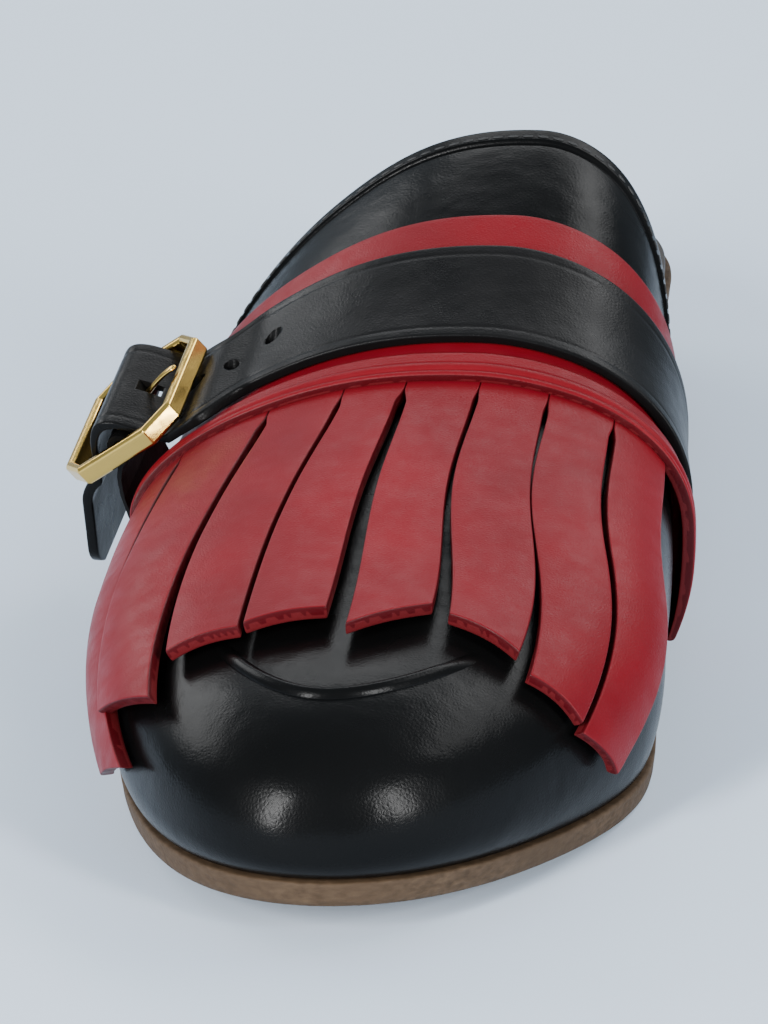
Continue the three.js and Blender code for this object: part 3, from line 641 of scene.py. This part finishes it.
# Strap and chape
# Black polished strap leather with painted edges: the long strap crosses the instep, passes through the buckle
# over its bar and hangs free at the outer side. The short chape folds round the bar and holds the buckle.
strap_tip = 27 * MM
tip_rounding = 5 * MM
tip_bend = 4.5 * MM
tip_droop = math.radians(52)
hump_spare = 1.4 * MM
strap_rise = 15 * MM
prong_reach = 2.8 * MM
hole_spacing = 8.3 * MM
hole_width = 2.6 * MM
chape_thickness = 1 * MM
loop_wall = 1 * MM
bar_radius = 1 * MM
frame_thickness = 3.6 * MM
frame_bar = 1.9 * MM
frame_run = 24.2 * MM
frame_lift = 2.8 * MM
frame_slack = 1.4 * MM
frame_gap = 2.2 * MM
slot_run = 2.6 * MM
slot_middle = 4.8 * MM
prong_width = 2 * MM
buckle_across = -0.87
buckle_slope = -0.54
strap_bed = skin + band_thickness + clearance

run_across = np.linspace(-1, 1, 401)
run_path = on_saddle(run_across, 0 * run_across, skin)
run_length = np.concatenate([[0], np.cumsum(np.linalg.norm(np.diff(run_path, axis=0), axis=1))])
run_length -= np.interp(buckle_across, run_across, run_length)


def across_run(s):
    return np.interp(s, run_length, run_across)


def one(across, v, proud):
    """A single point over the saddle."""
    return on_saddle(np.array(float(across)), np.array(float(v)), np.array(float(proud)))


buckle_out = outward(saddle_line(buckle_slope), np.array(buckle_slope))
lengthwise = one(buckle_across, 1 * MM, 0) - one(buckle_across, -1 * MM, 0)
buckle_run = unit(np.cross(lengthwise, buckle_out))
buckle_toe = np.cross(buckle_out, buckle_run)
buckle_origin = one(buckle_across, 0, 0)
buckle_axes = np.stack([buckle_run, buckle_toe, buckle_out])


def from_buckle(x, y, z):
    """Point from the buckle's own frame: x to the free tip, y to the toe, z outwards."""
    return buckle_origin + np.stack(np.broadcast_arrays(x, y, z), -1) @ buckle_axes


leg = np.array([frame_run / 2 - frame_bar, frame_run / 2])[:, None]
leg_v = np.array([-0.5, 0, 0.5]) * strap_width
leg_top = on_saddle(across_run(leg) + 0 * leg_v, leg_v + 0 * leg,
                    np.full((2, 3), strap_bed + strap_thickness + clearance + frame_lift))
frame_low = ((leg_top - buckle_origin) @ buckle_out).max()
bar_height = frame_low + frame_thickness / 2
loop_radius = bar_radius + clearance + loop_wall
strap_low = frame_low - clearance - strap_thickness
hump_rise = bar_height + loop_radius + clearance + hump_spare - strap_low
hump_run = frame_run / 2 - frame_bar - frame_gap


def held_strap(s, v, thick):
    """Strap in the buckle's frame: a hump over the bar, and an arc down to the straight free end."""
    past = np.clip(-s - hump_run, 0, None)
    bent = tip_droop * np.minimum(past, tip_bend) / tip_bend
    radius = tip_bend / tip_droop
    straight = np.clip(past - tip_bend, 0, None)
    hump = np.clip(1 - (s / hump_run) ** 2, 0, None) ** 1.5
    x = np.where(past > 0, hump_run + radius * np.sin(bent) + straight * np.cos(bent), -s)
    drop = radius * (1 - np.cos(bent)) + straight * np.sin(bent)
    height = strap_low + hump_rise * hump - drop
    return from_buckle(x + thick * np.sin(bent), v, height + thick * np.cos(bent))


def strap_point(s, v, thick):
    """Strap at a distance s from the bar: held by the buckle near it, laid on band or wall elsewhere."""
    across = across_run(s)
    laid = on_saddle(across, v, skin + clearance + (band_thickness + thick) * pared(across))
    grip = ease((frame_run / 2 + strap_rise - s) / strap_rise)
    return mix(laid, held_strap(s, v, thick), grip[..., None])


def strap_place(u, v, w):
    s = mix(-strap_tip, run_length[-1], u)
    narrow = np.sqrt(1 - (0.75 * np.clip((tip_rounding - strap_tip - s) / tip_rounding, 0, 1)) ** 2)
    side = mix(strap_width / 2, -strap_width / 2, v) * narrow
    crease = 0.07 * MM * (np.exp(-(((v - 0.1) / 0.016) ** 2)) + np.exp(-(((v - 0.9) / 0.016) ** 2)))
    top = strap_thickness - crease
    return strap_point(s, side, np.where(w > 0, top * (w + 1) / 2, strap_thickness * (w + 1) / 2))


strap_black = material("strap_black", (0.004, 0.004, 0.004), 0.36, specular=0.1)
strap_edge = scaled(strap_black, attribute(strap_black, "rim"), 0.02, 0.15, 0, 1)
strap_tone = ramp(strap_black, noise(strap_black, 45), 0.3, 0.75, (0.004, 0.004, 0.004), (0.009, 0.0085, 0.0085))
feed(strap_black, "Base Color", blend(strap_black, strap_edge, strap_tone, (0.004, 0.004, 0.004)))
feed(strap_black, "Roughness", scaled(strap_black, noise(strap_black, 80), 0.3, 0.7, 0.24, 0.4))
bump(strap_black, [(noise(strap_black, 140, 2), 0.0002), (cells(strap_black, 1500), 0.00004)])

strap_u = spaced(300, 0.004, 0.003)
strap_v = np.concatenate([spaced(3, 0.03, 0)[:-1] * 0.3, np.linspace(0, 1, 81)[1:-1], 1 - spaced(3, 0.03, 0)[:-1][::-1] * 0.3])
strap_v = np.unique(strap_v.round(6))
strap_full = np.outer(fullness(strap_u, 0.004, 0.003), fullness(strap_v, 0.03, 0.03))
strap = sheet("strap_leather", strap_place, strap_u, strap_v, strap_full, "strap")


def pin_cutter(s):
    """Round punch square to the strap at a distance from the bar, as an object that cuts and is then removed."""
    middle = strap_point(np.array(float(s)), np.array(0.0), np.array(strap_thickness / 2))
    ahead = strap_point(np.array(float(s) + MM), np.array(0.0), np.array(strap_thickness / 2)) - middle
    side = strap_point(np.array(float(s)), np.array(MM), np.array(strap_thickness / 2)) - middle
    bore = bmesh.new()
    bmesh.ops.create_cone(bore, cap_ends=True, segments=28, radius1=hole_width / 2, radius2=hole_width / 2,
                          depth=6 * MM)
    mesh = bpy.data.meshes.new("punch")
    bore.to_mesh(mesh)
    bore.free()
    turn = Vector(np.cross(ahead, side)).to_track_quat("Z", "Y").to_matrix().to_4x4()
    mesh.transform(Matrix.Translation(Vector(middle)) @ turn)
    cutter = bpy.data.objects.new("punch", mesh)
    bpy.context.scene.collection.objects.link(cutter)
    return cutter


def cut(piece, cutter):
    """Cuts one object from another and keeps the result as the piece's own mesh."""
    knife = piece.modifiers.new("cut", "BOOLEAN")
    knife.object = cutter
    knife.operation = "DIFFERENCE"
    knife.solver = "EXACT"
    shaped = bpy.data.meshes.new_from_object(piece.evaluated_get(bpy.context.evaluated_depsgraph_get()))
    piece.modifiers.clear()
    piece.data = shaped
    mesh = cutter.data
    bpy.data.objects.remove(cutter)
    bpy.data.meshes.remove(mesh)


def slot_cutter():
    """Block through the hump, where the prong comes up."""
    block = bmesh.new()
    bmesh.ops.create_cube(block, size=1)
    mesh = bpy.data.meshes.new("slot")
    block.to_mesh(mesh)
    block.free()
    size = Matrix.Diagonal((slot_run, prong_width + 2 * clearance, 4 * hump_rise, 1))
    turn = Matrix(buckle_axes.T.tolist()).to_4x4()
    middle = from_buckle(-slot_middle, 0, bar_height)
    mesh.transform(Matrix.Translation(Vector(middle)) @ turn @ size)
    cutter = bpy.data.objects.new("slot", mesh)
    bpy.context.scene.collection.objects.link(cutter)
    return cutter


for k in (1, 2, 3):
    cut(strap, pin_cutter(prong_reach + k * hole_spacing))
cut(strap, slot_cutter())
strap.data.materials.clear()
strap.data.materials.append(strap_black)

# The chape keeps its solid, which has the prong's slot, in the strap's leather.
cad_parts["chape"].data.materials.clear()
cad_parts["chape"].data.materials.append(strap_black)


# Buckle
# Cast brass frame with cut corners and wide bevels, polished, and a bent brass prong hooked round its bar.
frame_chamfer = 4.5 * MM
opening_chamfer = 3 * MM


def octagon(inset, height):
    """Eight corners of the frame's outline at an inset from its outer edge."""
    half_run, half_width = frame_run / 2 - inset, (strap_width + 2 * frame_bar + frame_slack) / 2 - inset
    chamfer = mix(frame_chamfer, opening_chamfer, inset / frame_bar)
    signs = [(1, 1), (-1, 1), (-1, -1), (1, -1)]
    corners = []
    for k, (sx, sy) in enumerate(signs):
        pair = [(sx * half_run, sy * (half_width - chamfer)), (sx * (half_run - chamfer), sy * half_width)]
        corners += pair if k % 2 == 0 else pair[::-1]
    corners = np.array(corners)
    return from_buckle(corners[:, 0], corners[:, 1], np.full(8, height))


bevel = 0.5 * MM
profile = [(0, bevel), (bevel, 0), (frame_bar - bevel, 0), (frame_bar, bevel),
           (frame_bar, frame_thickness - bevel), (frame_bar - bevel, frame_thickness),
           (bevel, frame_thickness), (0, frame_thickness - bevel)]
rings = np.stack([octagon(inset, frame_low + height) for inset, height in profile + profile[:1]])
rings = np.concatenate([rings, rings[:, :1]], 1)
ring_index = np.arange(rings.shape[0] * rings.shape[1]).reshape(rings.shape[:2])
buckle = build("buckle_frame_cast", rings, grid_faces(ring_index), "buckle_frame")
buckle.data.shade_flat()
soften = buckle.modifiers.new("polished_corners", "BEVEL")
soften.width = 0.2 * MM
soften.segments = 3
soften.limit_method = "ANGLE"
soften.angle_limit = math.radians(20)

bar_span = np.linspace(-0.5, 0.5, 12) * (strap_width + frame_slack + 2 * MM)
bar_path = from_buckle(np.zeros(12), bar_span, np.full(12, bar_height))
bar_turn = np.linspace(0, 2 * math.pi, 25)[:-1]
bar_loop = bar_radius * np.stack([np.cos(bar_turn), np.sin(bar_turn)], -1)[None] * np.ones((12, 1, 1))
buckle_bar = swept("buckle_bar", bar_path, np.tile(buckle_run, (12, 1)), np.tile(buckle_out, (12, 1)), bar_loop,
                   None)

prong_rest = frame_low + frame_thickness + clearance
prong_tip = -frame_run / 2 + 0.6 * MM
hook = np.linspace(-1.35 * math.pi, 0.32 * math.pi, 40)
hook_radius = bar_radius + clearance + 0.5 * MM
hook_x, hook_z = -hook_radius * np.sin(hook), bar_height + hook_radius * np.cos(hook)
arm = np.linspace(0.04, 1, 40)
arm_x = mix(hook_x[-1], prong_tip, arm)
arm_z = mix(hook_z[-1], prong_rest + 0.6 * MM, ease(arm)) + 0.3 * MM * np.sin(math.pi * arm)
prong_x, prong_z = np.concatenate([hook_x, arm_x]), np.concatenate([hook_z, arm_z])
prong_path = from_buckle(prong_x, 0 * prong_x, prong_z)
prong_along = unit(np.gradient(prong_path, axis=0))
prong_side = np.tile(buckle_toe, (len(prong_path), 1))
prong_up = unit(np.cross(prong_side, prong_along))
prong_taper = np.concatenate([np.full(40, 1.0), mix(1.0, 0.8, arm)])
prong_taper[-4:] *= [0.97, 0.9, 0.75, 0.45]
prong_turn = np.linspace(0, 2 * math.pi, 21)[:-1]
prong_loop = np.stack([0.95 * MM * np.cos(prong_turn), 0.5 * MM * np.sin(prong_turn)], -1)[None]
prong = swept("buckle_prong_wire", prong_path, prong_side, prong_up, prong_loop * prong_taper[:, None, None],
              "buckle_prong")

brass = material("brass", (0.72, 0.47, 0.12), 0.16, metallic=1.0)
feed(brass, "Roughness", scaled(brass, noise(brass, 180), 0.3, 0.7, 0.12, 0.24))
bump(brass, [(noise(brass, 260, 2), 0.00006)])
for piece in (buckle, buckle_bar, prong):
    piece.data.materials.append(brass)


# Outsole
# Vegetable tanned leather sole, its cut edge sanded and left natural, cemented under the upper.
sole_bevel = 0.8 * MM


def loft(name, first, last, rings_, node, count=220, power=1.0):
    """Closed solid from rings round the outline: each ring has an offset, a share of the way out from the
    middle line, and a height for every place along the length."""
    turn = np.linspace(turn_at(first), turn_at(last), count)
    share = (1 - np.cos(turn)) / 2
    made = []
    for offset, out, height in rings_:
        outer, inner = plan_edge(share, -1, np.full(count, offset)), plan_edge(share, 1, np.full(count, offset))
        middle = (outer + inner) / 2
        outer, inner = mix(middle, outer, out), mix(middle, inner, out)
        z = height(share)
        around = np.concatenate([np.column_stack([outer, z]), np.column_stack([inner, z])[::-1]])
        made.append(np.concatenate([around, around[:1]]))
    points = np.stack(made)
    index = np.arange(points.shape[0] * points.shape[1]).reshape(points.shape[:2])
    return build(name, points, grid_faces(index), node)


def sole_level(share):
    return lambda at: mix(underside(at), sole_top(at), share)


outs = [(-12 * MM, 0, sole_level(0)), (-12 * MM, 0.5, sole_level(0)), (-9 * MM, 1, sole_level(0)),
        (-5.6 * MM, 1, sole_level(0)), (-5.4 * MM, 1, sole_level(0.06)), (-4.9 * MM, 1, sole_level(0.06)),
        (-4.7 * MM, 1, sole_level(0)), (-1.2 * MM, 1, sole_level(0)), (-0.85 * MM, 1, sole_level(0.03)),
        (-0.62 * MM, 1, sole_level(0.1)), (-0.4 * MM, 1, sole_level(0.3)), (-0.28 * MM, 1, sole_level(0.55)),
        (-0.1 * MM, 1, sole_level(0.85)), (-0.12 * MM, 1, sole_level(0.95)), (-0.3 * MM, 1, sole_level(0.995)),
        (-0.7 * MM, 1, sole_level(1)), (-4 * MM, 1, sole_level(1)), (-12 * MM, 0.5, sole_level(1)),
        (-12 * MM, 0, sole_level(1))]
outsole = loft("outsole_leather", 0, 1, outs, "outsole")

raw_edge = material("raw_edge", (0.13, 0.075, 0.035), 0.72, specular=0.3)
fibre = noise(raw_edge, 700, 4, (0.8, 0.8, 1.6))
patch = noise(raw_edge, 55, 3)
edge_tone = ramp(raw_edge, fibre, 0.3, 0.75, (0.04, 0.022, 0.009), (0.1, 0.062, 0.034))
feed(raw_edge, "Base Color", blend(raw_edge, scaled(raw_edge, patch, 0.35, 0.7, 0, 0.7), edge_tone, (0.06, 0.035, 0.017)))
bump(raw_edge, [(patch, 0.0004), (fibre, 0.00025)])
outsole.data.materials.append(raw_edge)


# Insole
# Dark leather footbed with a slight cup at the heel, filling the shoe to the upper's wall.
insole_thickness = 2.8 * MM
insole_margin = 1.2 * MM
insole_side_gap = 0.5 * MM


def footbed(share, dish=0.0):
    def height(at):
        return sole_top(at) + clearance + insole_thickness * share - dish * ease((at - 0.6) / 0.2)
    return height


def insole_loft():
    """Rings like the outsole's, whose offset grows from inside the upper to near the edge behind it."""
    count = 220
    turn = np.linspace(0, math.pi, count)
    share = (1 - np.cos(turn)) / 2
    margin = mix(-ledge_at(share) - wall - insole_side_gap, -insole_margin, ease((share - side_at - 0.01) / 0.05))
    steps = [(-10, 0, 0, 0), (-8, 0.6, 0, 0), (-0.5, 1, 0, 0), (-0.05, 1, 0.15, 0), (0, 1, 0.5, 0),
             (-0.05, 1, 0.85, 0), (-0.35, 1, 0.98, 0), (-0.9, 1, 1, 0), (-3, 1, 1, 0.15), (-8, 1, 1, 0.6),
             (-12, 0.7, 1, 0.9), (-12, 0, 1, 1)]
    made = []
    for offset, out, level, dish in steps:
        outer, inner = plan_edge(share, -1, margin + offset * MM), plan_edge(share, 1, margin + offset * MM)
        middle = (outer + inner) / 2
        outer, inner = mix(middle, outer, out), mix(middle, inner, out)
        z = footbed(level, dish * 0.9 * MM)(share)
        around = np.concatenate([np.column_stack([outer, z]), np.column_stack([inner, z])[::-1]])
        made.append(np.concatenate([around, around[:1]]))
    points = np.stack(made)
    index = np.arange(points.shape[0] * points.shape[1]).reshape(points.shape[:2])
    return build("footbed_leather", points, grid_faces(index), "insole")


insole = insole_loft()
footbed_leather = material("footbed_leather", (0.02, 0.016, 0.014), 0.5)
feed(footbed_leather, "Base Color", ramp(footbed_leather, noise(footbed_leather, 30, 4), 0.3, 0.75,
                                         (0.014, 0.011, 0.01), (0.034, 0.026, 0.022)))
feed(footbed_leather, "Roughness", scaled(footbed_leather, noise(footbed_leather, 90), 0.3, 0.7, 0.42, 0.62))
bump(footbed_leather, [(noise(footbed_leather, 120, 3), 0.0002), (cells(footbed_leather, 1100), 0.00008)])
insole.data.materials.append(footbed_leather)


# Heel and its rubber piece
# Three leather lifts and a rubber piece, stacked, nailed and sanded to one slope.
heel_breast = 0.775
top_piece_thickness = 4 * MM
heel_setback = 0.4 * MM
heel_taper = 1.6 * MM


def heel_stack(name, low, high, lifts, node):
    """Rings up the stack: each lift's edge bulges out from the fine grooves between the lifts."""
    def inset(z):
        return -sole_bevel - heel_setback - heel_taper * (1 - z / heel_height)

    def flat(z):
        return lambda at: np.full_like(at, z)

    edge = 0.25 * MM
    rings_ = [(-14 * MM, 0, flat(low)), (inset(low) - 3 * edge, 1, flat(low)), (inset(low) - edge, 1, flat(low))]
    pitch = (high - low) / lifts
    for k in range(lifts):
        foot = low + k * pitch
        for share, sink in ((0.02, 0.8), (0.07, 0.2), (0.15, 0), (0.85, 0), (0.93, 0.2), (0.98, 0.8)):
            z = foot + share * pitch
            rings_.append((inset(z) - sink * edge, 1, flat(z)))
    rings_ += [(inset(high) - edge, 1, flat(high)), (inset(high) - 3 * edge, 1, flat(high)),
               (-14 * MM, 0, flat(high))]
    return loft(name, heel_breast, 1, rings_, node, count=120)


heel = heel_stack("heel_lifts", top_piece_thickness + clearance, heel_height - clearance, 3, "heel")
heel.data.materials.append(raw_edge)
top_piece = heel_stack("heel_rubber", 0, top_piece_thickness, 1, "top_piece")
rubber = material("heel_rubber", (0.016, 0.015, 0.014), 0.7, specular=0.35)
feed(rubber, "Roughness", scaled(rubber, noise(rubber, 150), 0.3, 0.7, 0.6, 0.85))
bump(rubber, [(noise(rubber, 700, 3), 0.00012)])
top_piece.data.materials.append(rubber)


# Floor, light and camera
# A pale studio floor under a weak sky, three long softboxes behind the shoe for the soft sheen on the leather,
# and two upright ones in front for the toe's highlights.
bpy.ops.mesh.primitive_plane_add(size=8)
floor = bpy.context.object
floor.name = "floor"
floor_paint = material("floor_paint", (0.72, 0.83, 0.97), 0.9, specular=0.05)
floor.data.materials.append(floor_paint)

shoe_middle = Vector((0, -0.03, 0.03))


def softbox(name, azimuth, elevation, distance, size, power, colour=(1, 1, 1)):
    """Square lamp that looks at the shoe."""
    a, e = math.radians(azimuth), math.radians(elevation)
    way = Vector((math.sin(a) * math.cos(e), -math.cos(a) * math.cos(e), math.sin(e)))
    lamp = bpy.data.lights.new(name, "AREA")
    lamp.shape = "RECTANGLE"
    lamp.size, lamp.size_y = size
    lamp.energy = power
    lamp.color = colour
    holder = bpy.data.objects.new(name, lamp)
    holder.location = shoe_middle + way * distance
    holder.rotation_euler = way.to_track_quat("Z", "Y").to_euler()
    bpy.context.scene.collection.objects.link(holder)


softbox("back", 174, 40, 1.6, (1.6, 0.45), 8)
softbox("back_inner", 124, 48, 1.5, (1.2, 0.35), 7)
softbox("back_outer", -122, 28, 1.5, (1.0, 0.5), 8)
softbox("front_outer", -29, 22, 1.5, (0.20, 0.90), 32)
softbox("front_inner", 52, 20, 1.5, (0.22, 0.80), 21)

world = bpy.data.worlds.new("studio")
world.use_nodes = True
world.node_tree.nodes["Background"].inputs["Color"].default_value = (0.72, 0.86, 1.0, 1)
world.node_tree.nodes["Background"].inputs["Strength"].default_value = 0.5
bpy.context.scene.world = world

# The camera stands where the photograph was taken, and turns and zooms in on this one shoe.
photo_azimuth, photo_elevation = 6.078, 25.343
photo_distance = 887.73 * MM
photo_target = Vector((47.635 * MM + shift[0], shift[1], -9.196 * MM))
shoe_pixel = (283.0, 466.0)
photo_focus, photo_centre = 1620.16, (384.0, 512.0)
zoom = 3.25
azimuth, elevation = math.radians(photo_azimuth), math.radians(photo_elevation)
away = Vector((math.sin(azimuth) * math.cos(elevation), -math.cos(azimuth) * math.cos(elevation), math.sin(elevation)))
camera_data = bpy.data.cameras.new("camera")
camera = bpy.data.objects.new("camera", camera_data)
bpy.context.scene.collection.objects.link(camera)
turn = away.to_track_quat("Z", "Y")
aside = Vector((shoe_pixel[0] - photo_centre[0], photo_centre[1] - shoe_pixel[1], -photo_focus))
aim = Vector((0, 0, -1)).rotation_difference(aside)
camera.location = photo_target + away * photo_distance
camera.rotation_euler = (turn @ aim).to_euler()
camera_data.sensor_width = 36
camera_data.lens = 36 * photo_focus * zoom / 1024
camera_data.clip_start = 0.01
bpy.context.scene.camera = camera
